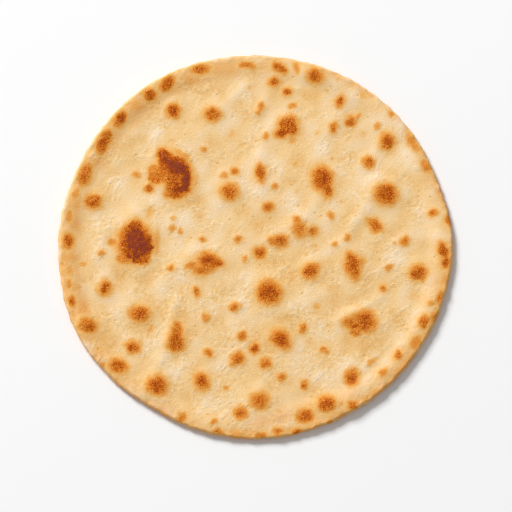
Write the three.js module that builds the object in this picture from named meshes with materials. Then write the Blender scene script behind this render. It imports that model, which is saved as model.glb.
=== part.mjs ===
// A chapati: a round, flat, hand-rolled bread, baked on a griddle until it blisters.
// It is one closed solid that lies on its underside. +Z is up, and the origin is under the
// middle of the bread, on the surface that it lies on. Lengths are in millimetres and angles
// in degrees, counted from +X towards +Y.
import * as THREE from "three";

// Driving dimensions.
const DIAMETER = 180;
const MIDDLE_THICKNESS = 2.7; // the disc inside the rim
const RIM_RISE = 1.15; // how far the rim's crest stands above the disc
const WAIST_HEIGHT = 1.75; // height of the bread's widest line
const RIM_LIFT = 0.4; // how far the rim's underside clears the surface

// Shares of the distance from the middle to the edge, in the same direction.
const RIM_START = 0.86; // where the disc starts to climb to the rim
const RIM_FULL = 0.948; // where the rim has its full height
const BANK_START = 0.7; // where the gentle banks inside the rim start
const BANK_FULL = 0.93; // where the banks have their full height
const RIM_CREST = 0.984; // where the lip starts to round over the edge
const UNDERSIDE_CURL = 0.978; // where the lip meets the underside
const LIFT_START = 0.86; // where the rim's underside starts to leave the surface

// The flat spot in the middle of the underside, and where the uneven baking around it is full.
const FLAT_RADIUS = 16;
const UNEVEN_RADIUS = 30;
const UNDERSIDE_POCKET = 0.45; // depth of the deepest pocket under the bread
const POCKET_THRESHOLD = 0.25; // share of the pocket wave that stays flat on the surface

// Where the rolled edge swells out or falls in: its direction, half its width, and how far.
const EDGE_SWELLS = [
  { at: 0, halfWidth: 12, out: 0.95 },
  { at: 20, halfWidth: 9, out: -0.75 },
  { at: 57, halfWidth: 14, out: 0.25 },
  { at: 116, halfWidth: 16, out: 0.65 },
  { at: 155, halfWidth: 16, out: -0.95 },
  { at: 207, halfWidth: 15, out: 1.0 },
  { at: 239, halfWidth: 10, out: -0.8 },
  { at: 270, halfWidth: 10, out: 0.45 },
  { at: 301, halfWidth: 10, out: -0.4 },
  { at: 327, halfWidth: 12, out: -0.3 },
];

// Where the rim is fuller or thinner than RIM_RISE.
const RIM_SWELLS = [
  { at: 20, halfWidth: 20, out: -0.25 },
  { at: 75, halfWidth: 22, out: -0.4 },
  { at: 100, halfWidth: 12, out: -0.45 },
  { at: 142, halfWidth: 30, out: -0.2 },
  { at: 238, halfWidth: 24, out: -0.5 },
  { at: 272, halfWidth: 17, out: -0.65 },
  { at: 320, halfWidth: 30, out: 0.1 },
];

// Where the climb to the rim lies further out than RIM_START to RIM_FULL, as a share.
const RIM_SHIFTS = [
  { at: 145, halfWidth: 42, out: 0.016 },
  { at: 225, halfWidth: 30, out: 0.012 },
  { at: 283, halfWidth: 16, out: -0.045 },
];

// The gentle banks inside the rim, and their heights.
const RIM_BANKS = [
  { at: 142, halfWidth: 33, out: 0.8 },
  { at: 192, halfWidth: 20, out: 0.15 },
];

// Long, shallow waves over the whole disc: the direction they travel in, their length and height.
const WAVES = [
  { towards: 148, length: 43, phase: 20, height: 0.08 },
  { towards: 118, length: 31, phase: 140, height: 0.05 },
  { towards: 62, length: 58, phase: 250, height: 0.08 },
];
const POCKET_WAVES = [
  { towards: 15, length: 37, phase: 60, height: 0.5 },
  { towards: 100, length: 33, phase: 200, height: 0.5 },
];

// Soft folds in the dough: a line from one end to the other, half its width, and its height.
const FOLDS = [
  { from: [-36, -26], to: [-39, -44], halfWidth: 2.6, height: 0.35 },
  { from: [-39, -44], to: [-43, -54], halfWidth: 2.8, height: 0.26 },
  { from: [-43, -54], to: [-50, -70], halfWidth: 3, height: 0.22 },
  { from: [-42, 23], to: [-55, 16], halfWidth: 3.2, height: 0.2 },
  { from: [-56, 15], to: [-68, 8], halfWidth: 3.4, height: 0.2 },
  { from: [-70, 6], to: [-71, -6], halfWidth: 3.6, height: 0.25 },
  { from: [37, -36], to: [45, -31], halfWidth: 2.6, height: 0.3 },
  { from: [45, -31], to: [58, -24], halfWidth: 2.8, height: 0.34 },
  { from: [14, 8], to: [21, 14], halfWidth: 3, height: 0.25 },
  { from: [21, 14], to: [31, 21], halfWidth: 3.6, height: 0.28 },
  { from: [39, 1], to: [46, 11], halfWidth: 3.2, height: 0.28 },
  { from: [48, 13], to: [56, 30], halfWidth: 3.4, height: 0.32 },
  { from: [-16, 65], to: [-2, 77], halfWidth: 3.2, height: 0.3 },
  { from: [3, 24], to: [2, 42], halfWidth: 3.6, height: 0.26 },
  { from: [4, 46], to: [12, 60], halfWidth: 4, height: 0.3 },
  { from: [3, 64], to: [10, 79], halfWidth: 3.4, height: 0.26 },
  { from: [-42, -18], to: [-28, -1], halfWidth: 3.6, height: 0.28 },
  { from: [32, 53], to: [42, 66], halfWidth: 4, height: 0.34 },
  { from: [-8, -36], to: [8, -28], halfWidth: 3.4, height: 0.2 },
  { from: [50, 39], to: [60, 50], halfWidth: 3.4, height: 0.24 },
  { from: [64, 31], to: [74, 39], halfWidth: 3.2, height: 0.2 },
  { from: [12, -34], to: [28, -25], halfWidth: 3.4, height: 0.2 },
  { from: [-62, -31], to: [-55, -21], halfWidth: 3.4, height: 0.25 },
  { from: [-71, -21], to: [-66, -11], halfWidth: 3.4, height: 0.25 },
];

// The larger blisters: middle, half length, half width, and the turn of the long side.
const BLISTERS = [
  { at: [-36, 33], halfLength: 9.5, halfWidth: 6, turn: 115 },
  { at: [-54, 2.5], halfLength: 9, halfWidth: 5.6, turn: 90 },
  { at: [-46, 28], halfLength: 3.2, halfWidth: 2, turn: 0 },
  { at: [28, 81], halfLength: 5, halfWidth: 3.8, turn: -20 },
  { at: [-19.5, 62.3], halfLength: 4, halfWidth: 3.2, turn: 0 },
  { at: [15.5, 56], halfLength: 5, halfWidth: 3.4, turn: 60 },
  { at: [60.5, 49.5], halfLength: 3.6, halfWidth: 2.9, turn: 90 },
  { at: [32, 30.5], halfLength: 6.4, halfWidth: 4.4, turn: -70 },
  { at: [60.5, 25], halfLength: 5.2, halfWidth: 5, turn: 0 },
  { at: [-11.5, 25.8], halfLength: 4.3, halfWidth: 4, turn: 0 },
  { at: [-73.5, 21.2], halfLength: 3.6, halfWidth: 3.1, turn: 0 },
  { at: [22, 8], halfLength: 5, halfWidth: 3.6, turn: 20 },
  { at: [10, 2.8], halfLength: 4.6, halfWidth: 2, turn: 0 },
  { at: [-23, -8.2], halfLength: 7, halfWidth: 4.4, turn: 10 },
  { at: [26, -11.3], halfLength: 4.2, halfWidth: 3.8, turn: 20 },
  { at: [45, -8.5], halfLength: 6.5, halfWidth: 3.5, turn: -72 },
  { at: [6.8, -21.5], halfLength: 6, halfWidth: 5.8, turn: 0 },
  { at: [75.3, -12], halfLength: 3.6, halfWidth: 3.6, turn: 0 },
  { at: [-52.5, -31.5], halfLength: 4.8, halfWidth: 3.6, turn: 0 },
  { at: [49.5, -35.5], halfLength: 7, halfWidth: 4.5, turn: 0 },
  { at: [-76, -37], halfLength: 4, halfWidth: 3.3, turn: 0 },
  { at: [12.5, -43.8], halfLength: 4.6, halfWidth: 3.7, turn: -35 },
  { at: [-36, -43.5], halfLength: 5, halfWidth: 3.6, turn: 85 },
  { at: [-62, -56], halfLength: 4.2, halfWidth: 3.3, turn: -25 },
  { at: [-44.2, -65], halfLength: 4.6, halfWidth: 4.4, turn: 0 },
  { at: [-24, -63.5], halfLength: 3.9, halfWidth: 3.5, turn: -40 },
  { at: [2.5, -72], halfLength: 4.6, halfWidth: 4.3, turn: 0 },
  { at: [32.5, -73.5], halfLength: 4, halfWidth: 3.5, turn: 0 },
];
const BLISTER_SLOPE = 0.19; // height for each millimetre of half width
const BLISTER_SPREAD = 1.5; // the dome reaches past the browned top
const DOME_POWER = 2.5; // above 2 the dome has a flatter top and steeper sides than a bell

// How finely the surface is divided.
const TOP_RINGS = 32;
const UNDERSIDE_RINGS = 18;
const LIP_STEPS = 6;
const RING_SIDES = 6; // each ring out from the middle has this many more points

const DEGREE = Math.PI / 180;

// Rises smoothly from 0 at the start to 1 at the end.
function softStep(value, start, end) {
  const t = Math.min(1, Math.max(0, (value - start) / (end - start)));
  return t * t * (3 - 2 * t);
}

// The sum of bell-shaped swells in one direction, on a circle.
function swellsAt(angle, swells) {
  return swells.reduce((sum, { at, halfWidth, out }) => {
    const apart = ((((angle - at) % 360) + 540) % 360) - 180;
    return sum + out * Math.exp(-((apart / halfWidth) ** 2));
  }, 0);
}

function wavesAt(x, y, waves) {
  return waves.reduce((sum, { towards, length, phase, height }) => {
    const along = x * Math.cos(towards * DEGREE) + y * Math.sin(towards * DEGREE);
    return sum + height * Math.sin(DEGREE * ((360 * along) / length + phase));
  }, 0);
}

function angleOf(x, y) {
  return Math.atan2(y, x) / DEGREE;
}

function edgeRadius(angle) {
  return DIAMETER / 2 + swellsAt(angle, EDGE_SWELLS);
}

// How far out a point is, from 0 in the middle to 1 at the edge.
function shareOut(x, y) {
  return Math.hypot(x, y) / edgeRadius(angleOf(x, y));
}

function rimAt(x, y) {
  const angle = angleOf(x, y);
  const share = shareOut(x, y);
  const rise = RIM_RISE + swellsAt(angle, RIM_SWELLS);
  const climb = softStep(share - swellsAt(angle, RIM_SHIFTS), RIM_START, RIM_FULL);
  return rise * climb + swellsAt(angle, RIM_BANKS) * softStep(share, BANK_START, BANK_FULL);
}

function foldAt(x, y, { from, to, halfWidth, height }) {
  const run = [to[0] - from[0], to[1] - from[1]];
  const along = ((x - from[0]) * run[0] + (y - from[1]) * run[1]) / (run[0] ** 2 + run[1] ** 2);
  const nearest = Math.min(1, Math.max(0, along));
  const away = Math.hypot(x - from[0] - nearest * run[0], y - from[1] - nearest * run[1]);
  return height * Math.exp(-((away / halfWidth) ** 2));
}

function blisterAt(x, y, { at, halfLength, halfWidth, turn }) {
  const [dx, dy] = [x - at[0], y - at[1]];
  const along = dx * Math.cos(turn * DEGREE) + dy * Math.sin(turn * DEGREE);
  const across = dy * Math.cos(turn * DEGREE) - dx * Math.sin(turn * DEGREE);
  const distance = Math.hypot(along / halfLength, across / halfWidth) / BLISTER_SPREAD;
  return BLISTER_SLOPE * halfWidth * Math.exp(-(distance ** DOME_POWER));
}

function topHeight(x, y) {
  const folds = FOLDS.reduce((sum, fold) => sum + foldAt(x, y, fold), 0);
  const blisters = BLISTERS.reduce((sum, blister) => sum + blisterAt(x, y, blister), 0);
  return MIDDLE_THICKNESS + rimAt(x, y) + wavesAt(x, y, WAVES) + folds + blisters;
}

function undersideHeight(x, y) {
  const lift = RIM_LIFT * softStep(shareOut(x, y), LIFT_START, UNDERSIDE_CURL);
  const uneven = softStep(Math.hypot(x, y), FLAT_RADIUS, UNEVEN_RADIUS);
  const pocket = Math.max(0, wavesAt(x, y, POCKET_WAVES) - POCKET_THRESHOLD);
  return lift + UNDERSIDE_POCKET * uneven * pocket;
}

// A ring of points around the bread. The place of each is worked out from its direction.
function ring(points, placeAt) {
  return Array.from({ length: points }, (_, i) => placeAt((360 * i) / points));
}

function pointOut(angle, share, heightAt) {
  const radius = share * edgeRadius(angle);
  const x = radius * Math.cos(angle * DEGREE);
  const y = radius * Math.sin(angle * DEGREE);
  return [x, y, heightAt(x, y)];
}

// The rounded lip: turn is 90 on the rim's crest, 0 on the widest line and -90 underneath.
function lipPoint(angle, turn) {
  const inner = turn > 0 ? RIM_CREST : UNDERSIDE_CURL;
  const share = inner + (1 - inner) * Math.cos(turn * DEGREE);
  const surface = turn > 0 ? topHeight : undersideHeight;
  const climb = Math.abs(Math.sin(turn * DEGREE));
  return pointOut(angle, share, (x, y) => WAIST_HEIGHT + climb * (surface(x, y) - WAIST_HEIGHT));
}

// Every ring, in order from the middle of the top, over the lip, to the middle of the underside.
function breadRings() {
  const rings = [ring(1, () => pointOut(0, 0, topHeight))];
  for (let i = 1; i <= TOP_RINGS; i += 1) {
    const share = (RIM_CREST * i) / TOP_RINGS;
    rings.push(ring(RING_SIDES * i, (angle) => pointOut(angle, share, topHeight)));
  }
  for (let i = 1; i < LIP_STEPS; i += 1) {
    const turn = 90 - (180 * i) / LIP_STEPS;
    rings.push(ring(RING_SIDES * TOP_RINGS, (angle) => lipPoint(angle, turn)));
  }
  for (let i = UNDERSIDE_RINGS; i >= 1; i -= 1) {
    const share = (UNDERSIDE_CURL * i) / UNDERSIDE_RINGS;
    rings.push(ring(RING_SIDES * i, (angle) => pointOut(angle, share, undersideHeight)));
  }
  rings.push(ring(1, () => pointOut(0, 0, undersideHeight)));
  return rings;
}

// The faces between two rings, which may have different numbers of points: whichever ring has
// turned less is the next to step on.
function bandFaces(first, second) {
  const step = (points, done) => (points > 1 ? (done + 1) / points : Infinity);
  const faces = [];
  let i = 0;
  let j = 0;
  while (step(first.length, i) <= 1 || step(second.length, j) <= 1) {
    const here = first[i % first.length];
    const there = second[j % second.length];
    if (step(first.length, i) < step(second.length, j)) {
      i += 1;
      faces.push(here, there, first[i % first.length]);
    } else {
      j += 1;
      faces.push(here, there, second[j % second.length]);
    }
  }
  return faces;
}

function breadGeometry() {
  const rings = breadRings();
  let count = 0;
  const numbered = rings.map((points) => points.map(() => count++));
  const faces = numbered.slice(1).flatMap((outer, i) => bandFaces(numbered[i], outer));
  const geometry = new THREE.BufferGeometry();
  geometry.setAttribute("position", new THREE.Float32BufferAttribute(rings.flat(2), 3));
  geometry.setIndex(faces);
  geometry.computeVertexNormals();
  geometry.computeBoundingBox();
  const { min, max } = geometry.boundingBox;
  geometry.translate(-(min.x + max.x) / 2, -(min.y + max.y) / 2, -min.z);
  return geometry;
}

const bakedDough = new THREE.MeshStandardMaterial({ color: 0xeabb7c, roughness: 0.85, metalness: 0 });

const chapati = new THREE.Mesh(breadGeometry(), bakedDough);
chapati.name = "chapati";

const bread = new THREE.Group();
bread.add(chapati);

export default bread;
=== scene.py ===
import math
import random

import bmesh
import bpy
import numpy as np
from mathutils import Matrix, Vector, noise


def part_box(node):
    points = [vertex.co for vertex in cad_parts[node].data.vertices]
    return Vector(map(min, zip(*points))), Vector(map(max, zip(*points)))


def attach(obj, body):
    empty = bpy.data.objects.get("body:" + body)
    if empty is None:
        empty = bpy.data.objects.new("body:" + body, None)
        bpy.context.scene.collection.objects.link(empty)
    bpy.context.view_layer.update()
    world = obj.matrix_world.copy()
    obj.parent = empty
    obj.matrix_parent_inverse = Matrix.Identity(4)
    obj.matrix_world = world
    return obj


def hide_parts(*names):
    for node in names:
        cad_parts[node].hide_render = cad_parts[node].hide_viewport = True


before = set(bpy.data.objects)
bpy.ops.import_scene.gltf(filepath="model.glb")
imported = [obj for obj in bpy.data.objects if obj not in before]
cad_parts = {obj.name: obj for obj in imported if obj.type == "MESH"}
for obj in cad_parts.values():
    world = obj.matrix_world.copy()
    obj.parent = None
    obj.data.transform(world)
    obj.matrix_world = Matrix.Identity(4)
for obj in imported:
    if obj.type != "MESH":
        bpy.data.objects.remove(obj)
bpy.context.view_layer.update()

# Lengths below are in millimetres and angles in degrees, counted from +X towards +Y.
# A share is how far out a place lies, from 0 in the bread's middle to 1 at its edge.
MM = 0.001

# The bread's own dimensions, as its solid has them.
DIAMETER = 180
MIDDLE_THICKNESS = 2.7
RIM_RISE = 1.15
WAIST_HEIGHT = 1.75
RIM_LIFT = 0.4
FLAT_RADIUS = 16
UNEVEN_RADIUS = 30
UNDERSIDE_POCKET = 0.45
POCKET_THRESHOLD = 0.25

# The shares at which the bank and the rim start to climb and reach their height, at which the rounded
# lip starts on the top and on the underside, and at which the underside starts to lift.
BANK_START = 0.7
BANK_FULL = 0.93
RIM_START = 0.86
RIM_FULL = 0.948
RIM_CREST = 0.984
UNDERSIDE_CURL = 0.978
LIFT_START = 0.86

# Direction, half width and height of each swell of the edge and of the rim.
EDGE_SWELLS = [
    (0, 12, 0.95), (20, 9, -0.75), (57, 14, 0.25), (116, 16, 0.65), (155, 16, -0.95), (207, 15, 1.0),
    (239, 10, -0.8), (270, 10, 0.45), (301, 10, -0.4), (327, 12, -0.3),
]
RIM_SWELLS = [
    (20, 20, -0.25), (75, 22, -0.4), (100, 12, -0.45), (142, 30, -0.2), (238, 24, -0.5), (272, 17, -0.65),
    (320, 30, 0.1),
]
# Direction, half width and distance of each stretch where the climb to the rim lies further out, or
# further in where that is below 0.
RIM_SHIFTS = [(145, 42, 0.016), (225, 30, 0.012), (283, 16, -0.045)]
# Direction, half width and height of each gentle bank inside the rim.
RIM_BANKS = [(142, 33, 0.8), (192, 20, 0.15)]

# Direction of travel, length, phase and height of each wave.
WAVES = [(148, 43, 20, 0.08), (118, 31, 140, 0.05), (62, 58, 250, 0.08)]
POCKET_WAVES = [(15, 37, 60, 0.5), (100, 33, 200, 0.5)]

# Both ends, half width and height of each soft fold.
FOLDS = [
    (-36, -26, -39, -44, 2.6, 0.35), (-39, -44, -43, -54, 2.8, 0.26), (-43, -54, -50, -70, 3, 0.22),
    (-42, 23, -55, 16, 3.2, 0.2), (-56, 15, -68, 8, 3.4, 0.2), (-70, 6, -71, -6, 3.6, 0.25),
    (37, -36, 45, -31, 2.6, 0.3), (45, -31, 58, -24, 2.8, 0.34), (14, 8, 21, 14, 3, 0.25),
    (21, 14, 31, 21, 3.6, 0.28), (39, 1, 46, 11, 3.2, 0.28), (48, 13, 56, 30, 3.4, 0.32),
    (-16, 65, -2, 77, 3.2, 0.3), (3, 24, 2, 42, 3.6, 0.26), (4, 46, 12, 60, 4, 0.3),
    (3, 64, 10, 79, 3.4, 0.26), (-42, -18, -28, -1, 3.6, 0.28), (32, 53, 42, 66, 4, 0.34),
    (-8, -36, 8, -28, 3.4, 0.2), (50, 39, 60, 50, 3.4, 0.24), (64, 31, 74, 39, 3.2, 0.2),
    (12, -34, 28, -25, 3.4, 0.2), (-62, -31, -55, -21, 3.4, 0.25), (-71, -21, -66, -11, 3.4, 0.25),
]

# Middle, half length, half width and turn of each of the larger blisters.
BLISTERS = [
    (-36, 33, 9.5, 6, 115), (-54, 2.5, 9, 5.6, 90), (-46, 28, 3.2, 2, 0), (28, 81, 5, 3.8, -20),
    (-19.5, 62.3, 4, 3.2, 0), (15.5, 56, 5, 3.4, 60), (60.5, 49.5, 3.6, 2.9, 90),
    (32, 30.5, 6.4, 4.4, -70), (60.5, 25, 5.2, 5, 0), (-11.5, 25.8, 4.3, 4, 0),
    (-73.5, 21.2, 3.6, 3.1, 0), (22, 8, 5, 3.6, 20), (10, 2.8, 4.6, 2, 0), (-23, -8.2, 7, 4.4, 10),
    (26, -11.3, 4.2, 3.8, 20), (45, -8.5, 6.5, 3.5, -72), (6.8, -21.5, 6, 5.8, 0),
    (75.3, -12, 3.6, 3.6, 0), (-52.5, -31.5, 4.8, 3.6, 0), (49.5, -35.5, 7, 4.5, 0),
    (-76, -37, 4, 3.3, 0), (12.5, -43.8, 4.6, 3.7, -35), (-36, -43.5, 5, 3.6, 85),
    (-62, -56, 4.2, 3.3, -25), (-44.2, -65, 4.6, 4.4, 0), (-24, -63.5, 3.9, 3.5, -40),
    (2.5, -72, 4.6, 4.3, 0), (32.5, -73.5, 4, 3.5, 0),
]
# A blister's height for each millimetre of its half width, how far it spreads, and how blunt its top is.
BLISTER_SLOPE = 0.19
SMALL_BLISTER_SLOPE = 0.15
BLISTER_SPREAD = 1.5
DOME_POWER = 2.5

# How far the fine relief starts below the solid's surface, so that it stays inside the solid.
SKIN_DEPTH = 0.25
# The direction along which the dough was drawn out, and how many times longer that makes its relief.
DRAWN_DIRECTION = 50
RELIEF_STRETCH = 1.8
# How high or deep each kind of fine relief is. Flaky skin peels more than smooth skin does.
HOLLOW_DEPTH = 0.13
CREASE_HEIGHT = 0.13
PEEL_HEIGHT = 0.04
FLAKY_PEEL_HEIGHT = 0.14
ROUGH_HEIGHT = 0.2
RAGGED_HEIGHT = 0.4
# How far from zero one noise may be on a crease, and how high another is where creases are full.
CREASE_WIDTH = 0.1
CREASE_FADE = 0.25
# The toast between which the crust turns rough, and the shares between which it turns ragged.
ROUGH_TOAST = (0.3, 0.6)
RAGGED_SHARES = (0.96, 0.99)
# The places along Y between which the skin turns flakier, towards the near side, and by how much.
FLAKY_START = 10
FLAKY_FULL = -30
FLAKY_NEARBY = 0.3
# The noise at which skin starts to be flaky, and how much more noise makes it fully so.
FLAKY_THRESHOLD = 0.08
FLAKY_FADE = 0.25

# Every browned spot on the top: middle, half length, half width, turn, and how dark it is baked,
# from 0 for bare dough to 1 for char.
CHARRED_SPOTS = [
    (-41.3, 41.5, 4.6, 3, 100, 0.64), (-41.6, 37.8, 5, 2.6, 90, 0.6), (-36.5, 38.3, 7.8, 4.6, -20, 0.7),
    (-34.8, 30.5, 7.4, 6.4, 80, 0.62), (-36.2, 24.6, 5, 2.8, 0, 0.53), (-43, 32.6, 3.6, 3, 0, 0.48),
    (-46.2, 34.5, 4.8, 2.9, 85, 0.42), (-45, 30.8, 2.6, 2, -30, 0.44), (-48.3, 27.8, 2.1, 2, 0, 0.52),
    (-35.5, 38, 5.4, 2.5, -19, 0.93), (-40, 40, 2.6, 1.8, -55, 0.73), (-35.6, 35, 5, 2, -5, 0.72),
    (-31.3, 30.6, 5.6, 2.3, 92, 0.84), (-31.8, 28.8, 3, 1.8, 85, 0.82), (-34.3, 26.8, 2.5, 1.7, 25, 0.76),
    (-39.2, 41.8, 4.4, 3, -35, 0.62), (-31.8, 33.4, 2.6, 1.6, -60, 0.82), (-54.8, 2, 10.3, 8.4, 85, 0.5),
    (-54.8, 2, 9.2, 7.4, 85, 0.64), (-54.4, 2.6, 7.4, 5, 92, 0.86), (-53.2, -2.6, 3.6, 2.4, 80, 0.9),
    (-55.4, 5.4, 3, 2.2, 60, 0.86), (-48.6, 0.4, 6, 2.2, 88, 0.68), (-50.6, -0.6, 4, 2, 85, 0.84),
    (-56.6, -4.8, 4.2, 0.5, -50, 0.84), (-59.5, -5.5, 3.8, 2.5, 15, 0.42),
    (-65.2, 2.3, 2.3, 1.9, 0, 0.32), (-54.2, 9.8, 3.8, 2.8, -10, 0.6), (-51.6, -6.6, 3.8, 1.9, 10, 0.56),
]
LARGE_SPOTS = [
    (27.8, 80.4, 3.9, 3.2, -35, 0.64), (-19.5, 62.3, 4.1, 3.3, 0, 0.55), (16.2, 57.6, 4.4, 3.7, 85, 0.64),
    (12.8, 53.8, 4, 2.5, 30, 0.61), (13.2, 58.4, 3, 2.2, 60, 0.59), (17.2, 54.6, 2.9, 2.2, 20, 0.61),
    (60.5, 49.5, 3.8, 3.2, 90, 0.62), (31.1, 31.8, 6.2, 5, -70, 0.69), (33.4, 26.3, 3.1, 2.8, 90, 0.64),
    (60.1, 24.6, 5.3, 5.1, 0, 0.66), (-11.5, 25.8, 4.3, 4, 0, 0.56), (-73.5, 21.2, 3.8, 3.3, 0, 0.66),
    (55, 10, 3.9, 2.8, -45, 0.56), (52.5, 13, 1.6, 1.4, 0, 0.3), (20.7, 8, 4.2, 3.8, 90, 0.45),
    (19.3, 12.4, 2, 1.7, 0, 0.42), (26.6, 7, 2.3, 2, 0, 0.53), (12, 2.6, 3.4, 3.3, 0, 0.54),
    (8.5, 2.8, 2.8, 2, 0, 0.43), (2.4, -2.8, 2.9, 2.7, 0, 0.55), (-20.9, -6.7, 5.6, 3.8, -8, 0.65),
    (-28.5, -9, 3.4, 1.7, 10, 0.41), (-23.8, -10.8, 4.8, 2.7, 8, 0.55), (-16, -7.6, 2.6, 1.6, -15, 0.58),
    (25.4, -11.6, 4, 3.6, 0, 0.6), (27.6, -9.9, 3, 2.4, 35, 0.42), (44.8, -9, 7, 3.7, -76, 0.62),
    (48.3, -7.4, 3.5, 2.6, 80, 0.3), (6.6, -21.5, 5.9, 5.7, 0, 0.67), (74.8, -12, 3.8, 3.8, 0, 0.66),
    (-52.5, -31.5, 5, 3.9, 0, 0.58), (50.4, -35.1, 5.5, 5.2, 0, 0.66), (43.3, -35.2, 3.6, 3.1, 0, 0.44),
    (46.2, -37.3, 4, 1.6, 2, 0.55), (46.4, -40.2, 2.6, 2, 0, 0.48), (-76, -37, 4.5, 3.7, 0, 0.58),
    (11.4, -42.8, 4.6, 4, -50, 0.63), (13.4, -44.8, 3.4, 2.8, -40, 0.58),
    (-35.5, -44.2, 4.3, 3.8, 90, 0.62), (-35.4, -40.4, 4, 2.9, 90, 0.55),
    (-35.4, -37, 2.6, 1.8, 90, 0.46), (-35.7, -46.7, 4.5, 2.3, -4, 0.52), (-62, -56, 4.4, 3.5, -25, 0.6),
    (-44.2, -65, 4.8, 4.6, 0, 0.65), (-24, -63, 4.5, 3.4, -60, 0.57), (2.5, -72, 4.6, 4.3, 0, 0.53),
    (32.5, -73.5, 4.3, 3.8, 0, 0.63), (23, -78.8, 3.9, 3.3, 0, 0.58),
]
SMALL_SPOTS = [
    (-37, 64, 3.5, 3, 90, 0.67), (9, 77.6, 2.4, 2.1, 0, 0.6), (14.9, 73.2, 2.3, 1.7, 30, 0.56),
    (3, 65.8, 2.6, 1.7, 75, 0.42), (1.5, 63, 1.4, 1.4, 0, 0.3), (17.3, 66.3, 2, 1.2, 0, 0.33),
    (5, 52, 2.2, 1.6, 80, 0.36), (-23.2, 46, 1.5, 1.5, 0, 0.34), (-9.2, 35.5, 1.9, 1.9, 0, 0.5),
    (-13.8, 34, 1.8, 1.8, 0, 0.31), (3, 34.5, 4.6, 2.2, -85, 0.58), (9.2, 28.5, 2, 1.7, 0, 0.34),
    (39.2, 68.6, 3, 2, 60, 0.55), (44, 59.2, 2.6, 2.2, 20, 0.55), (47.5, 61.5, 1.8, 1, 30, 0.3),
    (36.2, 56.2, 2.8, 1.7, 75, 0.51), (56.2, 56.8, 2, 2, 0, 0.3), (52, 39.8, 3, 2.6, -60, 0.48),
    (6.5, 18.6, 2.8, 2.5, 0, 0.48), (34.8, 14.5, 2.2, 1.6, -60, 0.32), (81.4, 15.8, 2, 2, 0, 0.5),
    (68.5, 2.8, 2.8, 2.1, 40, 0.43), (63.5, 2.2, 1.3, 1.3, 0, 0.18), (42.6, 4, 2, 1.6, 70, 0.36),
    (36.5, 1.2, 1.3, 1.3, 0, 0.33), (-7.6, 3.6, 2, 1.5, 0, 0.4), (-23.8, 3.6, 1.6, 1.3, 0, 0.4),
    (-4.2, -5.8, 1.9, 1.5, 80, 0.33), (-38, 8.7, 1.8, 1.8, 0, 0.3), (-34, 7, 1.6, 1, 50, 0.3),
    (-37.2, 13, 1.6, 1.6, 0, 0.2), (-38.2, -10, 1.6, 1.6, 0, 0.42), (-70.1, -2.9, 1.5, 1.4, 0, 0.36),
    (-68.2, -19.4, 3.6, 2.9, 90, 0.61), (-26.6, -20.8, 2.6, 1.6, -75, 0.46),
    (-9.3, -28.5, 2.2, 2.2, 0, 0.47), (-7.4, -28, 2.2, 2, 0, 0.2), (61.3, -9.8, 2.3, 1.5, 40, 0.35),
    (58.5, -19.2, 1.7, 1.5, 0, 0.5), (80.2, -26.8, 2, 2, 0, 0.3), (-22.2, -33.2, 2, 1.9, 0, 0.4),
    (-5.8, -41.8, 2.5, 2.3, 0, 0.46), (0, -47.3, 2.6, 1.9, 80, 0.66), (-7.7, -52.2, 3.1, 2.9, 0, 0.57),
    (-10, -54.8, 1.5, 1.3, 0, 0.3), (-20.8, -49.8, 2.4, 2.2, 0, 0.41), (5, -54.6, 3.2, 2.4, 15, 0.52),
    (22, -38.3, 2.3, 1.6, 60, 0.5), (31.7, -48.2, 1.7, 1.6, 0, 0.44), (12.3, -61, 2.1, 2, 0, 0.4),
    (22.8, -64.6, 2.3, 1.7, 90, 0.45), (-13.2, -65.6, 0.9, 0.8, 0, 0.34),
    (-6.2, -77.5, 3.4, 2.9, -40, 0.54), (-55.4, -47, 3.2, 3, 0, 0.62), (77.3, -35.5, 3.1, 2.5, 90, 0.53),
    (65.2, -51, 2.2, 1.5, 90, 0.5), (53.6, -53.5, 2.6, 1.7, 40, 0.28), (58.5, -59.2, 2.4, 1.7, 50, 0.43),
    (44.2, -61.3, 4, 3.4, 90, 0.57), (44.5, -74.3, 2.4, 2.1, 0, 0.5), (10.8, -86.3, 2.2, 1.7, 0, 0.5),
    (-18.5, -82, 1.7, 1.4, 0, 0.36), (-54, 34, 2.5, 1.5, 0, 0.3),
]
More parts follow.
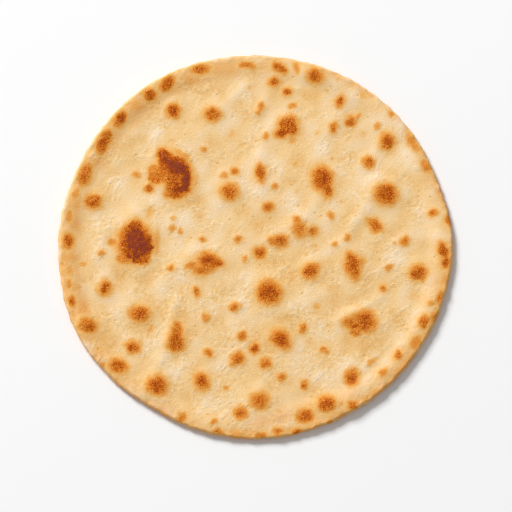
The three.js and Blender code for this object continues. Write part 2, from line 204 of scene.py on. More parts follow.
RIM_SPOTS = [
    (-48.2, 71.2, 3.1, 2.8, 0, 0.66), (-40.2, 76.8, 4.2, 2.7, 50, 0.64),
    (-61.5, 59.8, 4.1, 2.4, 65, 0.66), (-69, 49, 6, 2.8, 65, 0.65), (-77.5, 33.5, 6, 2.8, 72, 0.55),
    (-82, 24.5, 4, 1.5, 70, 0.3), (-84.5, 14, 3.8, 1.6, 80, 0.32), (-85, 2.5, 3.6, 2.8, 90, 0.62),
    (-84.5, -11.5, 3, 2, 90, 0.25), (-84.5, -17.5, 2.4, 1.7, 90, 0.38), (-83, -25.5, 3, 2, 100, 0.52),
    (-25.1, 83.5, 4.2, 2.1, 8, 0.63), (-3.4, 85.5, 4.2, 1.8, -8, 0.46), (11.6, 84.3, 3.8, 2.1, -35, 0.58),
    (19.3, 84.2, 3.3, 1.5, -80, 0.32), (62.4, 62.6, 2, 1.2, -60, 0.34), (72.6, 49, 5.6, 2.3, -62, 0.38),
    # The spot at (89, 12.5) is darker than its toasting alone, partly painted shade at the edge.
    (78.6, 37.5, 3.8, 2.4, -64, 0.42), (89, 12.5, 3.5, 1.6, 85, 0.5), (86, -2, 3.8, 2.7, -70, 0.62),
    (87.3, -7.5, 2.5, 2.1, 90, 0.68), (84.4, -24.1, 4, 1.7, 75, 0.42), (82, -33, 4.2, 1.8, 65, 0.34),
    (73.5, -45, 4, 2.4, 55, 0.37), (-33, -80, 3, 2, 60, 0.44), (-16.5, -86.5, 2.6, 1.4, -10, 0.42),
    (3, -88, 2.6, 1.1, 0, 0.5), (19, -86, 2.4, 1.5, 10, 0.5), (50.5, -71.5, 2.2, 1.5, 40, 0.22),
    (34, -82, 2, 1.3, 20, 0.34),
]
FRECKLES = [
    (-27.3, 31, 6, 2.6, 90, 0.17), (-33, 43, 5.5, 1.9, -35, 0.26), (-44.8, 2, 7, 2.2, 90, 0.24),
    (-48, 16, 4, 2.4, 55, 0.17), (-10.3, 53, 2.6, 1.2, 60, 0.15), (-2, 74.8, 1.3, 1.3, 0, 0.15),
    (18.5, 39, 1.8, 1.8, 0, 0.17), (29, 53.5, 1.4, 1.4, 0, 0.15), (49.5, 53, 1.8, 1.8, 0, 0.14),
    (50, 71.5, 1.8, 1.8, 0, 0.18), (33, 73.5, 0.8, 0.8, 0, 0.2), (38.5, 79, 1.8, 1.8, 0, 0.15),
    (35.8, 42, 0.8, 0.8, 0, 0.2), (39.7, 21.8, 1.2, 1.2, 0, 0.14), (27.5, 0.3, 1.4, 0.8, 0, 0.22),
    (23.5, -3.5, 1.2, 1.2, 0, 0.14), (-3.5, 16, 2.2, 2.2, 0, 0.1), (-26, 19.5, 1.3, 1.3, 0, 0.13),
    (-26, 14.8, 1.2, 1.2, 0, 0.13), (28.5, -28, 2, 1.8, 0, 0.19), (35, -19.6, 3.2, 2, 40, 0.12),
    (19.5, 26, 1.5, 1.5, 0, 0.13), (58, -1.8, 1.4, 1.4, 0, 0.1), (-44.5, -28, 1.3, 1.3, 0, 0.14),
    (-48, 17, 3, 1.5, 60, 0.15), (-78, -8.3, 2.2, 1.2, 0, 0.25), (-47.6, -38.2, 1.9, 1.3, 60, 0.24),
    (-69.3, -55.8, 2, 1.3, 60, 0.3), (-71.5, -48, 2.2, 1, 90, 0.2), (-73, -43, 1.2, 1.2, 0, 0.15),
    (-67, -31.5, 1.4, 1.4, 0, 0.13), (-57.5, -68, 1.4, 1.2, 0, 0.15), (-11.2, -43.5, 2.2, 1.5, 0, 0.12),
    (25, -44, 1.6, 1.6, 0, 0.12), (67, -32, 1.5, 1.5, 0, 0.12), (53, -66.5, 1.5, 1.5, 0, 0.13),
    (39.5, -73.5, 2, 0.6, 60, 0.3), (17.2, 50.6, 2.6, 1.7, 80, 0.24),
]

# Direction, half width and strength of each golden stretch of the lip and of the slope inside it. The gold
# is partly toasting and partly painted shade: on the lip it is strongest on the side away from the lamp,
# and on the slope it is strongest inside the rim's upper left and left, which the rim shades.
LIP_TAN_AND_SHADE = [
    (-60, 32, 1.1), (-14, 22, 0.95), (28, 14, 0.85), (62, 14, 0.4), (195, 22, 0.45), (235, 22, 0.25),
    (275, 18, 0.8),
]
SLOPE_TAN_AND_SHADE = [
    (97, 16, 0.4), (118, 12, 0.35), (144, 28, 0.95), (194, 24, 0.85), (236, 20, 0.15), (284, 20, 0.55),
    (-15, 14, 0.25), (-45, 20, 0.2),
]
# The shares between which the lip's gold and painted shade come in, and where the slope's are strongest
# and how widely.
LIP_TAN_AND_SHADE_SHARES = (0.94, 0.985)
SLOPE_TAN_AND_SHADE_MIDDLE = 0.93
SLOPE_TAN_AND_SHADE_WIDTH = 0.045
# How golden the outer wall is, the shares between which it starts, the height at which its gold ends,
# and how far below that it is full.
WALL_TAN = 0.88
WALL_SHARES = (0.984, 0.996)
WALL_TAN_TOP = 3.5
WALL_TAN_FADE = 0.9
# How unevenly the gold and painted shade lie on the rim, and the gold on the outer wall.
RIM_TAN_AND_SHADE_UNEVENNESS = 1.2
WALL_TAN_UNEVENNESS = 0.4

# Direction, half width and strength of each stretch where the slope inside the rim is painted pale, a
# painted highlight where it faces the lamp.
SLOPE_HIGHLIGHT = [(320, 22, 0.15), (45, 30, 0.05)]
# The share where that painted highlight is strongest, and how widely.
SLOPE_HIGHLIGHT_MIDDLE = 0.898
SLOPE_HIGHLIGHT_WIDTH = 0.022
# How much paler the dough is for each millimetre that fine relief or a fold raises it. On the fine relief
# that is partly drier skin and partly painted shade in the hollows, and on a fold it is a painted
# highlight.
RELIEF_PALENESS_AND_SHADE = 0.95
FOLD_HIGHLIGHT = 0.25

# Middle, half width and strength of each patch where the bare dough is darker and more golden. Below 0 it
# is paler. The two inside the rim at the upper left, at (-74, 30) and (-30, 72), are painted shade.
BAKED_AND_SHADED_PATCHES = [
    (-60, -42, 21, 0.12), (6, -57, 14, 0.12), (-36, -26, 14, 0.09), (56, -45, 16, 0.12),
    (-16, -18, 10, 0.06), (54, 8, 10, 0.08), (-74, 30, 14, 0.07), (-30, 72, 14, 0.1), (-34, 2, 9, -0.12),
    (18, 2, 9, -0.16), (38, -2, 7, -0.05), (-18, 30, 15, -0.09), (-55, 38, 9, -0.08), (18, 54, 10, -0.04),
    (74, -34, 8, -0.06),
]

# The point that the spots' places are counted from, as the edge's swells shift the bread's middle.
SPOTS_MIDDLE = (-0.5, -0.4)
# Size and reach of each of the wobbles that leave no spot a clean outline.
SPOT_WOBBLES = [(4.5, 0.7), (1.9, 0.75)]
# How sharply the browning ends at the outline of a browned and of a charred spot.
BROWNED_FIRMNESS = 3.4
CHARRED_FIRMNESS = 6.5
# How far out a spot's browning reaches, where 1 is its outline.
SPOT_REACH = 1.02
# Half width below which a spot is soft all through, and how much darker and wider softness makes it.
SOFT_WIDTH = 1.1
SOFT_DARKER = 0.2
SOFT_WIDER = 0.1
# How dark the toasted ring round a spot is, as a part of the spot's toast, and how wide it is.
HALO_TOAST = 0.44
HALO_WIDTH = 2
# How firmly spots that overlap keep the darker one's toast.
SPOT_MERGE = 6
# How uneven the toast is within a spot, and the toast between which that starts.
TOAST_UNEVENNESS = 0.12
UNEVEN_TOAST = (0.3, 0.55)
# No part is baked darker than this.
DARKEST_TOAST = 0.9

# Browned spots of the underside: their seed, how many, how far out they go, and how wide they are.
UNDERSIDE_SEED = 11
UNDERSIDE_SPOT_COUNT = 120
UNDERSIDE_REACH = 87
SMALLEST_UNDERSIDE_SPOT = 1.1
UNDERSIDE_SPOT_RANGE = 5.4
# How strongly small spots outnumber large ones, how close two may come, as a part of one's half width
# and the other's half length together, and how many times longer than wide one may be.
SMALL_SPOT_BIAS = 2.6
UNDERSIDE_SPOT_GAP = 0.75
LONGEST_UNDERSIDE_SPOT = 1.6
# How dark every spot is at least, and how much darker each millimetre of half width makes it.
UNDERSIDE_TOAST = 0.3
TOAST_PER_MILLIMETRE = 0.065

# How finely the bread's surface is divided.
TOP_RINGS = 140
UNDERSIDE_RINGS = 100
LIP_RINGS = 9

# Sizes of the crust's patterns. Bran specks and flour grain are finer in life, and are drawn as coarse
# as they need to be to show.
GRAIN_SIZE = 1.1
SPECK_SIZE = 0.4
CLOUD_SIZE = 13
FLAKE_SIZE = 2
FLAKE_GAP_SIZE = 2.1
PIT_SPACING = 6
# How many times longer than wide a flake is.
FLAKE_STRETCH = 1.9
# How strongly the specks show in the grain, the middle value of any noise, and that of the two together.
SPECK_WEIGHT = 1.5
NOISE_MIDDLE = 0.5
CRUMB_MIDDLE = NOISE_MIDDLE * SPECK_WEIGHT + NOISE_MIDDLE
# The dough's own shade, and how much darker the clouds, the grain, the flakes and the pits make it. The
# flakes make it paler, a painted highlight on their crests, and the pits darker, painted shade in the
# pinholes.
DOUGH_SHADE = 0.335
CLOUD_WEIGHT = 0.62
GRAIN_WEIGHT = 0.33
FLAKE_HIGHLIGHT = -0.16
PIT_SHADE = 0.2
# The height that the grain, the flakes and the pits stand for.
BUMP_DEPTH = 0.4

# The colours of toasted crust from bare to charred, whose lighter last stop paints glints in the char, of
# dough from raised to hollow, which carries painted highlight and painted shade as well as the dough's
# tone, and of the rim's gold, which is partly painted shade.
TOASTED_AND_GLINT_COLOURS = [
    (0.0, "f6cc94"), (0.1, "f3c37e"), (0.2, "f0b464"), (0.3, "ea9f4a"), (0.42, "e18a30"),
    (0.54, "d37312"), (0.66, "be5702"), (0.76, "a84606"), (0.84, "913b0d"), (0.92, "802c20"),
    (1.0, "8c4032"),
]
DOUGH_COLOURS = [(0.58, "fce3bf"), (0.82, "f7d095"), (1.0, "ecb972")]
GOLDEN_TAN_AND_SHADE_COLOUR = "eda54f"

# The camera's lens and sensor, the width that it takes in, how steeply it looks down, and its aim.
CAMERA_LENS = 500
CAMERA_SENSOR = 36
CAMERA_WIDTH = 234
CAMERA_ELEVATION = 76.75
CAMERA_AIM = (0.2, -4.13, 0)


def soft_step(value, start, end):
    """Rises smoothly from 0 at the start to 1 at the end."""
    t = np.clip((value - start) / (end - start), 0, 1)
    return t * t * (3 - 2 * t)


def turned(x, y, turn):
    """A point's distances along a direction and across it."""
    c, s = math.cos(math.radians(turn)), math.sin(math.radians(turn))
    return x * c + y * s, y * c - x * s


def swells_at(angle, swells):
    """The sum of all the swells in that direction."""
    total = np.zeros_like(angle)
    for at, half_width, height in swells:
        apart = (angle - at + 180) % 360 - 180
        total += height * np.exp(-((apart / half_width) ** 2))
    return total


def waves_at(x, y, waves):
    """The sum of all the waves at a point."""
    total = np.zeros_like(x)
    for towards, length, phase, height in waves:
        along, _ = turned(x, y, towards)
        total += height * np.sin(np.radians(360 * along / length + phase))
    return total


def edge_radius(angle):
    """How far the edge lies from the middle in that direction."""
    return DIAMETER / 2 + swells_at(angle, EDGE_SWELLS)


def angle_of(x, y):
    """The direction in which a point lies from the middle."""
    return np.degrees(np.arctan2(y, x))


def share_out(x, y):
    """How far out a point is, from 0 in the middle to 1 at the edge."""
    return np.hypot(x, y) / edge_radius(angle_of(x, y))


def fold_at(x, y, fold):
    """How much one fold raises a point."""
    x0, y0, x1, y1, half_width, height = fold
    run_x, run_y = x1 - x0, y1 - y0
    along = np.clip(((x - x0) * run_x + (y - y0) * run_y) / (run_x**2 + run_y**2), 0, 1)
    away = np.hypot(x - x0 - along * run_x, y - y0 - along * run_y)
    return height * np.exp(-((away / half_width) ** 2))


def folds_at(x, y):
    """How much all the folds raise a point."""
    return sum(fold_at(x, y, fold) for fold in FOLDS)


def rim_at(x, y):
    """How much the rim and the bank inside it raise a point."""
    angle, share = angle_of(x, y), share_out(x, y)
    rise = RIM_RISE + swells_at(angle, RIM_SWELLS)
    climb = soft_step(share - swells_at(angle, RIM_SHIFTS), RIM_START, RIM_FULL)
    return rise * climb + swells_at(angle, RIM_BANKS) * soft_step(share, BANK_START, BANK_FULL)


def spot_distance(x, y, spot):
    """0 in the middle of a spot or blister and 1 on its outline."""
    along, across = turned(x - spot[0], y - spot[1], spot[4])
    return np.hypot(along / spot[2], across / spot[3])


def domes_at(x, y, blisters, slope):
    """How much blisters raise a point. A wider blister is higher."""
    total = np.zeros_like(x)
    for blister in blisters:
        reach = spot_distance(x, y, blister) / BLISTER_SPREAD
        total += slope * blister[3] * np.exp(-(reach**DOME_POWER))
    return total


def top_height(x, y):
    """The height of the bread's top."""
    height = MIDDLE_THICKNESS + rim_at(x, y) + waves_at(x, y, WAVES)
    return height + folds_at(x, y) + domes_at(x, y, BLISTERS, BLISTER_SLOPE)


def underside_height(x, y):
    """The height of the underside: flat in the middle, with shallow pockets, and lifted near the edge."""
    lift = RIM_LIFT * soft_step(share_out(x, y), LIFT_START, UNDERSIDE_CURL)
    uneven = soft_step(np.hypot(x, y), FLAT_RADIUS, UNEVEN_RADIUS)
    pocket = np.maximum(0, waves_at(x, y, POCKET_WAVES) - POCKET_THRESHOLD)
    return lift + UNDERSIDE_POCKET * uneven * pocket


def hexagon_sheet(bm, rings, height):
    """A flat hexagon of small triangles. Returns its boundary edges."""
    lift = Matrix.Translation((0, 0, height))
    made = bmesh.ops.create_circle(
        bm, cap_ends=True, cap_tris=True, segments=6, radius=1, matrix=lift
    )
    edges = {edge for vert in made["verts"] for edge in vert.link_edges}
    bmesh.ops.subdivide_edges(bm, edges=list(edges), cuts=rings - 1, use_grid_fill=True)
    return [edge for edge in bm.edges if edge.is_boundary and edge.verts[0].co.z == height]


def prism():
    """A closed six-sided prism: its top, sides and bottom become the bread's top, lip and underside."""
    bm = bmesh.new()
    underside_edges = hexagon_sheet(bm, UNDERSIDE_RINGS, -1)
    lip_edges = hexagon_sheet(bm, TOP_RINGS, 1)
    for _ in range(LIP_RINGS):
        made = bmesh.ops.extrude_edge_only(bm, edges=lip_edges)["geom"]
        verts = [item for item in made if isinstance(item, bmesh.types.BMVert)]
        bmesh.ops.translate(bm, verts=verts, vec=(0, 0, -2 / (LIP_RINGS + 1)))
        lip_edges = [item for item in made if isinstance(item, bmesh.types.BMEdge) and item.is_boundary]
    bmesh.ops.bridge_loops(bm, edges=lip_edges + underside_edges)
    bmesh.ops.triangulate(bm, faces=[face for face in bm.faces if len(face.verts) > 3])
    bmesh.ops.recalc_face_normals(bm, faces=list(bm.faces))
    # Extruding makes its faces in no set order. Numbering them by place gives the same mesh each time.
    by_place = sorted(bm.faces, key=lambda face: tuple(face.calc_center_median()))
    for number, face in enumerate(by_place):
        face.index = number
    bm.faces.sort()
    return bm


def roll_out(points):
    """Rounds the prism's points into the smooth bread. Each of the prism's sides spans 60 degrees."""
    x, y, z = points.T
    side_normals = np.radians([0, 60, 120])
    flats = np.abs(np.outer(x, np.cos(side_normals)) + np.outer(y, np.sin(side_normals)))
    ring = flats.max(axis=1) / math.cos(math.radians(30))
    sector, within = np.divmod(angle_of(x, y) - 30, 60)
    start, end = np.sin(np.radians(within)), np.sin(np.radians(60 - within))
    angle = 30 + 60 * (sector + start / (start + end))
    upper = z > 0
    inner = np.where(upper, RIM_CREST, UNDERSIDE_CURL)
    on_lip = ~np.isclose(np.abs(z), 1)
    share = np.where(on_lip, inner + (1 - inner) * np.cos(np.radians(90 * z)), inner * ring)
    radius = share * edge_radius(angle)
    x, y = radius * np.cos(np.radians(angle)), radius * np.sin(np.radians(angle))
    surface = np.where(upper, top_height(x, y), underside_height(x, y))
    climb = np.where(on_lip, np.abs(np.sin(np.radians(90 * z))), 1)
    return np.column_stack((x, y, WAIST_HEIGHT + climb * (surface - WAIST_HEIGHT)))


def noise_at(points, size, seed):
    """Smooth noise from about -1 to 1, with features of that size in millimetres."""
    shifted = points / size + seed
    return np.array([noise.noise(Vector(point)) for point in shifted])


def warped(points, seed):
    """The places where a point's browning is read, so that no spot has a clean outline."""
    x, y = points[:, 0] - SPOTS_MIDDLE[0], points[:, 1] - SPOTS_MIDDLE[1]
    for size, reach in SPOT_WOBBLES:
        x += reach * noise_at(points, size, seed + size)
        y += reach * noise_at(points, size, seed - size)
    return x, y


def toast_at(x, y, spots, firmness):
    """How dark the crust is baked. A spot is darkest in its middle and fades over its outline."""
    merged = np.zeros_like(x)
    for spot in spots:
        distance = spot_distance(x, y, spot)
        softness = min(1, SOFT_WIDTH / spot[3])
        fade = (distance / (SPOT_REACH + SOFT_WIDER * softness)) ** (firmness - softness)
        body = (1 + SOFT_DARKER * softness) * np.exp(-fade)
        beyond = 1 - 1 / np.maximum(distance, 1)
        outside = np.hypot(x - spot[0], y - spot[1]) * beyond
        halo = HALO_TOAST * np.exp(-outside / HALO_WIDTH)
        merged += (spot[5] * np.maximum(body, halo)) ** SPOT_MERGE
    return merged ** (1 / SPOT_MERGE)


def underside_spots():
    """Browned spots for the face that lay on the griddle, spread by a rule so that some just merge."""
    draw = random.Random(UNDERSIDE_SEED)
    spots = []
    while len(spots) < UNDERSIDE_SPOT_COUNT:
        radius = UNDERSIDE_REACH * math.sqrt(draw.random())
        angle = draw.uniform(0, 2 * math.pi)
        x, y = radius * math.cos(angle), radius * math.sin(angle)
        size = SMALLEST_UNDERSIDE_SPOT + UNDERSIDE_SPOT_RANGE * draw.random() ** SMALL_SPOT_BIAS
        if any(math.hypot(x - s[0], y - s[1]) < UNDERSIDE_SPOT_GAP * (size + s[2]) for s in spots):
            continue
        length = size * draw.uniform(1, LONGEST_UNDERSIDE_SPOT)
        turn = draw.uniform(0, 180)
        spots.append((x, y, length, size, turn, UNDERSIDE_TOAST + TOAST_PER_MILLIMETRE * size))
    return spots


def toast_of(points):
    """How dark each point is baked, on the top and on the underside."""
    x, y = warped(points, seed=2)
    browned = toast_at(x, y, LARGE_SPOTS + SMALL_SPOTS + RIM_SPOTS + FRECKLES, BROWNED_FIRMNESS)
    charred = toast_at(x, y, CHARRED_SPOTS, CHARRED_FIRMNESS)
    underside = toast_at(x, y, underside_spots(), BROWNED_FIRMNESS)
    toast = np.where(points[:, 2] > WAIST_HEIGHT, np.maximum(browned, charred), underside)
    uneven = TOAST_UNEVENNESS * soft_step(toast, *UNEVEN_TOAST) * noise_at(points, size=3.2, seed=31.7)
    return np.minimum(toast + uneven, DARKEST_TOAST)


def flakiness_at(points):
    """1 where the dough's skin is flaky and wrinkled, and 0 where it is smooth."""
    near = soft_step(points[:, 1], FLAKY_START, FLAKY_FULL)
    wrinkled = noise_at(points, size=11, seed=5.7) + FLAKY_NEARBY * near
    return soft_step(wrinkled - FLAKY_THRESHOLD, 0, FLAKY_FADE)


def fine_relief(points, toast, flaky):
    """Relief too fine for the solid, outwards: hollows, creases, peel, rough tops and a ragged edge."""
    x, y, z = points.T
    along, across = turned(x, y, DRAWN_DIRECTION)
    drawn = np.column_stack((along / RELIEF_STRETCH, across, z))
    domes = domes_at(x - SPOTS_MIDDLE[0], y - SPOTS_MIDDLE[1], SMALL_SPOTS, SMALL_BLISTER_SLOPE)
    domes *= z > WAIST_HEIGHT
    hollows = HOLLOW_DEPTH * noise_at(drawn, size=5.5, seed=3.1)
    creased = soft_step(noise_at(points, size=9, seed=8.4), 0, CREASE_FADE)
    ridges = 1 - soft_step(np.abs(noise_at(drawn, size=5, seed=14.9)), 0, CREASE_WIDTH)
    creases = CREASE_HEIGHT * creased * ridges
    peel = (PEEL_HEIGHT + FLAKY_PEEL_HEIGHT * flaky) * noise_at(points, size=1.4, seed=9.2)
    rough = ROUGH_HEIGHT * soft_step(toast, *ROUGH_TOAST) * noise_at(points, size=1.5, seed=21.3)
    near_edge = soft_step(share_out(x, y), *RAGGED_SHARES)
    ragged = RAGGED_HEIGHT * near_edge * noise_at(points, size=3.2, seed=55.1)
    return domes + hollows + creases + peel + rough + ragged - SKIN_DEPTH


def tan_and_shade_at(points):
    """How golden the rim is: on its lip and on the slope inside it partly toasting and partly painted
    shade, and on its outer wall toasting.
    """
    x, y, z = points.T
    share, angle = share_out(x, y), angle_of(x, y)
    lip = soft_step(share, *LIP_TAN_AND_SHADE_SHARES) * swells_at(angle, LIP_TAN_AND_SHADE)
    middle = SLOPE_TAN_AND_SHADE_MIDDLE + swells_at(angle, RIM_SHIFTS)
    slope = np.exp(-(((share - middle) / SLOPE_TAN_AND_SHADE_WIDTH) ** 2)) * swells_at(angle, SLOPE_TAN_AND_SHADE)
    wall = WALL_TAN * soft_step(share, *WALL_SHARES) * soft_step(WALL_TAN_TOP - z, 0, WALL_TAN_FADE)
    uneven = noise_at(points, size=6, seed=41.3)
    rim = (lip + slope) * (1 + RIM_TAN_AND_SHADE_UNEVENNESS * uneven)
    return np.clip(rim + wall * (1 + WALL_TAN_UNEVENNESS * uneven), 0, 1)


def paleness_and_painted_light_at(points, relief):
    """How pale the bare dough is: more on what is raised, partly drier skin and partly painted shade in
    the hollows, with painted highlights on fold crests and on the rim's slope, and less in darker patches,
    two of them painted shade.
    """
    x, y, _ = points.T
    baked_and_shaded = np.zeros_like(x)
    for patch_x, patch_y, half_width, strength in BAKED_AND_SHADED_PATCHES:
        away = np.hypot(x - patch_x, y - patch_y)
        baked_and_shaded += strength * np.exp(-((away / half_width) ** 2))
    from_slope = (share_out(x, y) - SLOPE_HIGHLIGHT_MIDDLE) / SLOPE_HIGHLIGHT_WIDTH
    rim = np.exp(-(from_slope**2)) * swells_at(angle_of(x, y), SLOPE_HIGHLIGHT)
    return RELIEF_PALENESS_AND_SHADE * (relief + SKIN_DEPTH) + FOLD_HIGHLIGHT * folds_at(x, y) + rim - baked_and_shaded


def centred(points):
    """The points with their middle at the origin and the lowest at height 0."""
    low, high = points.min(axis=0), points.max(axis=0)
    return points - [(low[0] + high[0]) / 2, (low[1] + high[1]) / 2, low[2]]


def read_vectors(items, name):
    """The vectors of that name, one row for each item."""
    flat = np.zeros(len(items) * 3, np.float32)
    items.foreach_get(name, flat)
    return flat.reshape(-1, 3)


def place_vertices(mesh, points):
    """Moves the mesh's vertices to those places."""
    mesh.vertices.foreach_set("co", points.astype(np.float32).ravel())
    mesh.update()


def bread_mesh():
    """The whole bread, with the relief that is too fine for the solid and with its browning."""
    mesh = bpy.data.meshes.new("chapati_crust")
    bm = prism()
    bm.to_mesh(mesh)
    bm.free()
    smooth = centred(roll_out(read_vectors(mesh.vertices, "co").astype(float)))
    place_vertices(mesh, smooth)

    # The rim's gold computed here is partly painted shade.
    toast, tan_and_shade, flaky = toast_of(smooth), tan_and_shade_at(smooth), flakiness_at(smooth)
    relief = fine_relief(smooth, toast, flaky)
    points = smooth + read_vectors(mesh.vertex_normals, "vector") * relief[:, None]
    low, high = (np.array(corner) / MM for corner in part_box("chapati"))
    points = np.clip(points, low, high)
    place_vertices(mesh, points * MM)

    # The paleness computed here carries painted highlight and painted shade as well as the dough's own
    # tone.
    paleness_and_painted_light = paleness_and_painted_light_at(points, relief)
    for name, values in (("toast", toast), ("tan_and_shade", tan_and_shade), ("paleness_and_painted_light", paleness_and_painted_light), ("flaky", flaky)):
        layer = mesh.attributes.new(name, "FLOAT", "POINT")
        layer.data.foreach_set("value", values.astype(np.float32))
    mesh.polygons.foreach_set("use_smooth", [True] * len(mesh.polygons))
    mesh.update()
    return mesh


def linear(hex_colour):
    """An sRGB hex colour as linear red, green, blue and alpha."""
    parts = [int(hex_colour[i : i + 2], 16) / 255 for i in (0, 2, 4)]
    return [c / 12.92 if c <= 0.04045 else ((c + 0.055) / 1.055) ** 2.4 for c in parts] + [1.0]


def add_node(tree, kind, inputs=None, **settings):
    """Adds a node. Each input is a value, or the output of another node that is linked to it."""
    made = tree.nodes.new(kind)
    for name, value in settings.items():
        setattr(made, name, value)
    for name, value in (inputs or {}).items():
        if isinstance(value, bpy.types.NodeSocket):
            tree.links.new(value, made.inputs[name])
        else:
            made.inputs[name].default_value = value
    return made


def set_stops(ramp, stops):
    """Makes a colour ramp run through the stops."""
    while len(ramp.elements) < len(stops):
        ramp.elements.new(1)
    for element, (place, colour) in zip(ramp.elements, stops):
        element.position = place
        element.color = linear(colour)


def per_metre(size):
    """The scale of a pattern on coordinates in metres, for features of that size in millimetres."""
    return 1 / (size * MM)


def crumb_pattern(tree, place):
    """The grain of the crust, and the same grain with bran specks in it."""
    grain = add_node(
        tree, "ShaderNodeTexNoise",
        {"Vector": place, "Scale": per_metre(GRAIN_SIZE), "Detail": 3.0, "Roughness": 0.75},
    ).outputs["Fac"]
    specks = add_node(
        tree, "ShaderNodeTexNoise", {"Vector": place, "Scale": per_metre(SPECK_SIZE), "Detail": 0.0}
    ).outputs["Fac"]
    crumb = add_node(
        tree, "ShaderNodeMath", {0: specks, 1: SPECK_WEIGHT, 2: grain}, operation="MULTIPLY_ADD"
    ).outputs[0]
    return grain, crumb


def flake_pattern(tree, place, flaky):
    """Thin curled flakes of skin, drawn out along one direction and broken up, where the skin is flaky."""
    drawn = add_node(
        tree, "ShaderNodeMapping",
        {
            "Vector": place,
            "Rotation": (0, 0, math.radians(DRAWN_DIRECTION)),
            "Scale": (FLAKE_STRETCH, 1, 1),
        },
        vector_type="TEXTURE",
    ).outputs["Vector"]
    curls = add_node(
        tree, "ShaderNodeTexNoise",
        {"Vector": drawn, "Scale": per_metre(FLAKE_SIZE), "Detail": 1.0, "Distortion": 0.6},
    ).outputs["Fac"]
    off_crest = add_node(
        tree, "ShaderNodeMath", {0: curls, 1: NOISE_MIDDLE}, operation="SUBTRACT"
    ).outputs[0]
    off_crest = add_node(tree, "ShaderNodeMath", {0: off_crest}, operation="ABSOLUTE").outputs[0]
    crests = add_node(
        tree, "ShaderNodeMapRange",
        {"Value": off_crest, "From Min": 0.0, "From Max": 0.045, "To Min": 1.0, "To Max": 0.0},
        interpolation_type="SMOOTHSTEP",
    ).outputs["Result"]
    gaps = add_node(
        tree, "ShaderNodeTexNoise", {"Vector": drawn, "Scale": per_metre(FLAKE_GAP_SIZE), "Detail": 0.0}
    ).outputs["Fac"]
    kept = add_node(
        tree, "ShaderNodeMapRange",
        {"Value": gaps, "From Min": 0.45, "From Max": 0.56, "To Min": 0.0, "To Max": 1.1},
    ).outputs["Result"]
    flakes = add_node(tree, "ShaderNodeMath", {0: crests, 1: kept}, operation="MULTIPLY").outputs[0]
    return add_node(tree, "ShaderNodeMath", {0: flakes, 1: flaky}, operation="MULTIPLY").outputs[0]


def pit_pattern(tree, place):
    """Pinholes scattered over the dough."""
    cells = add_node(
        tree, "ShaderNodeTexVoronoi", {"Vector": place, "Scale": per_metre(PIT_SPACING)}
    ).outputs["Distance"]
    return add_node(
        tree, "ShaderNodeMapRange",
        {"Value": cells, "From Min": 0.06, "From Max": 0.13, "To Min": 1.0, "To Max": 0.0},
        interpolation_type="SMOOTHSTEP",
    ).outputs["Result"]


def toasted_colour_and_glints(tree, toast, crumb):
    """Browned crust: the more it is toasted, the more its crumb shows. Where the crumb lifts the char past
    its darkest, it turns lighter: painted glints.
    """
    grain_reach = add_node(
        tree, "ShaderNodeMapRange",
        {"Value": toast, "From Min": 0.25, "From Max": 0.6, "To Min": 0.1, "To Max": 0.65},
        interpolation_type="SMOOTHSTEP",
    ).outputs["Result"]
    uneven = add_node(
        tree, "ShaderNodeMath", {0: crumb, 1: CRUMB_MIDDLE}, operation="SUBTRACT"
    ).outputs[0]
    grained = add_node(
        tree, "ShaderNodeMath", {0: uneven, 1: grain_reach, 2: toast}, operation="MULTIPLY_ADD"
    ).outputs[0]
    toasted_and_glints = add_node(tree, "ShaderNodeValToRGB", {"Fac": grained})
    set_stops(toasted_and_glints.color_ramp, TOASTED_AND_GLINT_COLOURS)
    return toasted_and_glints.outputs["Color"]


def dough_colour(tree, place, grain, flakes, pits, paleness_and_painted_light):
    """Bare dough: cloudy and grained, with painted highlights on the flakes and painted shade in the pits,
    and paler where it is raised, partly drier skin and partly painted light.
    """
    clouds = add_node(
        tree, "ShaderNodeTexNoise",
        {"Vector": place, "Scale": per_metre(CLOUD_SIZE), "Detail": 1.0, "Roughness": 0.8},
    ).outputs["Fac"]
    cloudy = add_node(
        tree, "ShaderNodeMath", {0: clouds, 1: CLOUD_WEIGHT, 2: DOUGH_SHADE}, operation="MULTIPLY_ADD"
    ).outputs[0]
    grained = add_node(
        tree, "ShaderNodeMath", {0: grain, 1: GRAIN_WEIGHT, 2: cloudy}, operation="MULTIPLY_ADD"
    ).outputs[0]
    flake_highlighted = add_node(
        tree, "ShaderNodeMath", {0: flakes, 1: FLAKE_HIGHLIGHT, 2: grained}, operation="MULTIPLY_ADD"
    ).outputs[0]
    pit_shaded = add_node(
        tree, "ShaderNodeMath", {0: pits, 1: PIT_SHADE, 2: flake_highlighted}, operation="MULTIPLY_ADD"
    ).outputs[0]
    baked_and_shaded = add_node(tree, "ShaderNodeMath", {0: pit_shaded, 1: paleness_and_painted_light}, operation="SUBTRACT").outputs[0]
    dough = add_node(tree, "ShaderNodeValToRGB", {"Fac": baked_and_shaded})
    set_stops(dough.color_ramp, DOUGH_COLOURS)
    return dough.outputs["Color"]


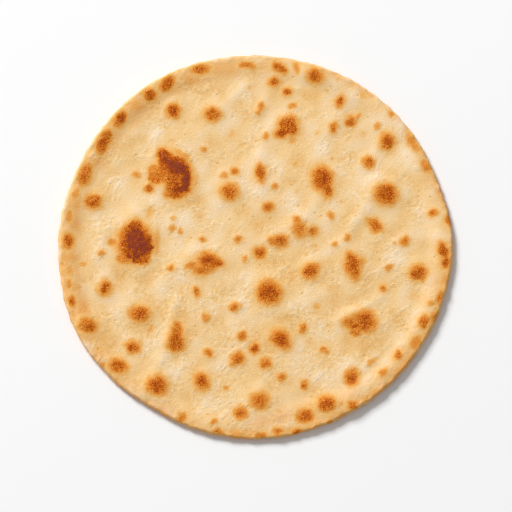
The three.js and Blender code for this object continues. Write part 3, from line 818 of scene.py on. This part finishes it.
def baked_wheat_crust():
    """Wheat dough baked dry on a griddle: matt and cream, yellow to brown and plum where it blistered."""
    material = bpy.data.materials.new("baked_wheat_crust")
    material.use_nodes = True
    tree = material.node_tree
    tree.nodes.clear()
    place = add_node(tree, "ShaderNodeTexCoord").outputs["Object"]
    toast, tan_and_shade, paleness_and_painted_light, flaky = (
        add_node(tree, "ShaderNodeAttribute", attribute_name=name).outputs["Fac"]
        for name in ("toast", "tan_and_shade", "paleness_and_painted_light", "flaky")
    )
    grain, crumb = crumb_pattern(tree, place)
    flakes = flake_pattern(tree, place, flaky)
    pits = pit_pattern(tree, place)

    # The dough's paleness carries painted highlight and painted shade.
    dough = dough_colour(tree, place, grain, flakes, pits, paleness_and_painted_light)
    # The rim's gold, partly toasting and partly painted shade on the side away from the lamp.
    golden_and_shaded = add_node(
        tree, "ShaderNodeMix", {"Factor": tan_and_shade, "A": dough, "B": linear(GOLDEN_TAN_AND_SHADE_COLOUR)}, data_type="RGBA"
    ).outputs["Result"]
    browned = add_node(
        tree, "ShaderNodeMapRange",
        {"Value": toast, "From Min": 0.0, "From Max": 0.17, "To Min": 0.0, "To Max": 1.0},
    ).outputs["Result"]
    colour = add_node(
        tree, "ShaderNodeMix",
        {"Factor": browned, "A": golden_and_shaded, "B": toasted_colour_and_glints(tree, toast, crumb)},
        data_type="RGBA",
    ).outputs["Result"]

    roughness = add_node(
        tree, "ShaderNodeMapRange",
        {"Value": toast, "From Min": 0.3, "From Max": 1.0, "To Min": 0.5, "To Max": 0.75},
    ).outputs["Result"]
    peeling = add_node(tree, "ShaderNodeMath", {0: crumb, 1: flakes}, operation="ADD").outputs[0]
    surface = add_node(tree, "ShaderNodeMath", {0: peeling, 1: pits}, operation="SUBTRACT").outputs[0]
    bump = add_node(
        tree, "ShaderNodeBump", {"Height": surface, "Strength": 0.38, "Distance": BUMP_DEPTH * MM}
    ).outputs["Normal"]
    shader = add_node(
        tree, "ShaderNodeBsdfPrincipled",
        {
            "Base Color": colour, "Roughness": roughness, "IOR": 1.45, "Specular IOR Level": 0.08,
            "Normal": bump,
        },
    )
    add_node(tree, "ShaderNodeOutputMaterial", {"Surface": shader.outputs["BSDF"]})
    return material


def plain(name, colour, roughness):
    """A smooth surface of one colour."""
    material = bpy.data.materials.new(name)
    material.use_nodes = True
    shader = material.node_tree.nodes["Principled BSDF"]
    shader.inputs["Base Color"].default_value = linear(colour)
    shader.inputs["Roughness"].default_value = roughness
    return material


def add_piece(name, mesh, material):
    """Puts a finished mesh into the scene."""
    mesh.materials.append(material)
    piece = bpy.data.objects.new(name, mesh)
    bpy.context.scene.collection.objects.link(piece)
    return piece


def add_bread():
    """The chapati, in the place of its solid."""
    bread = add_piece("chapati_bread", bread_mesh(), baked_wheat_crust())
    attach(bread, "root")
    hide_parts("chapati")


def add_floor():
    """A wide pale floor under the bread."""
    bm = bmesh.new()
    bmesh.ops.create_grid(bm, x_segments=1, y_segments=1, size=20)
    mesh = bpy.data.meshes.new("floor")
    bm.to_mesh(mesh)
    bm.free()
    add_piece("floor", mesh, plain("white_paper", "fcfcfc", roughness=0.9))


def add_light(name, towards, elevation, distance, size, watts):
    """A soft square lamp that faces the bread from that direction. Its distance and size are in metres."""
    lamp = bpy.data.lights.new(name, "AREA")
    lamp.size = size
    lamp.energy = watts
    light = bpy.data.objects.new(name, lamp)
    flat = distance * math.cos(math.radians(elevation))
    light.location = (
        flat * math.cos(math.radians(towards)),
        flat * math.sin(math.radians(towards)),
        distance * math.sin(math.radians(elevation)),
    )
    light.rotation_euler = (-light.location).to_track_quat("-Z", "Y").to_euler()
    bpy.context.scene.collection.objects.link(light)


def add_studio():
    """Soft light from the far left, and even light from all round."""
    add_light("window", towards=126, elevation=36, distance=4.8, size=1.6, watts=250)
    world = bpy.data.worlds.new("studio")
    world.use_nodes = True
    background = world.node_tree.nodes["Background"]
    background.inputs["Color"].default_value = linear("ffffff")
    background.inputs["Strength"].default_value = 0.345
    bpy.context.scene.world = world
    bpy.context.scene.view_settings.view_transform = "Standard"


def add_camera():
    """A long lens almost straight above the bread, a little to its near side."""
    aim = Vector(CAMERA_AIM) * MM
    distance = CAMERA_WIDTH * MM * CAMERA_LENS / CAMERA_SENSOR
    data = bpy.data.cameras.new("camera")
    data.lens = CAMERA_LENS
    data.sensor_width = CAMERA_SENSOR
    camera = bpy.data.objects.new("camera", data)
    lean = math.radians(CAMERA_ELEVATION)
    camera.location = aim + distance * Vector((0, -math.cos(lean), math.sin(lean)))
    camera.rotation_euler = (math.radians(90 - CAMERA_ELEVATION), 0, 0)
    bpy.context.scene.collection.objects.link(camera)
    bpy.context.scene.camera = camera


add_camera()
add_studio()
add_floor()
add_bread()

bpy.context.view_layer.update()
